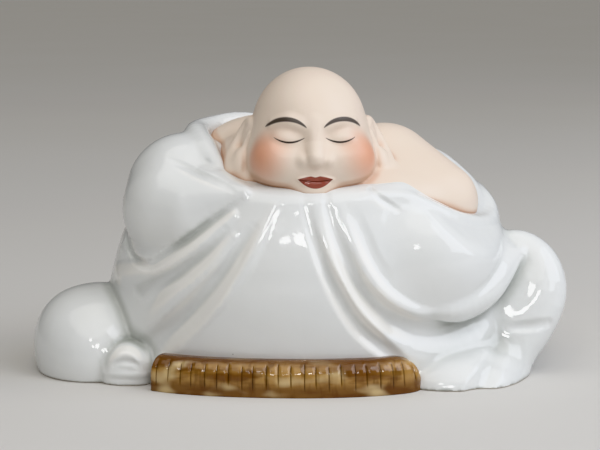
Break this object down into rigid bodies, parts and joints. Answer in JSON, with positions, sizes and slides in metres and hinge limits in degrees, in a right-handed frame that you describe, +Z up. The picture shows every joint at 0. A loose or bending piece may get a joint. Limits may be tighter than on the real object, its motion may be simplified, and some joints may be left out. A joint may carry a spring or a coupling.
{
  "type": "budai figure",
  "caption": "Hollow slip-cast porcelain figure of a robed, bald monk resting on a low straw mat; clear-glazed robe, matte tinted face and shoulder, flat unglazed underside.",
  "frame": {"origin": "centre of the outline's box, on the table under the flat underside", "axes": "+X is to the right of someone facing the figure, the face looks along -Y, +Z is up"},
  "size_m": [0.2768, 0.1634, 0.158],
  "materials": {
    "figure": "gloss"
  },
  "bodies": {
    "root": {"figure": "figure"}
  },
  "joints": []
}
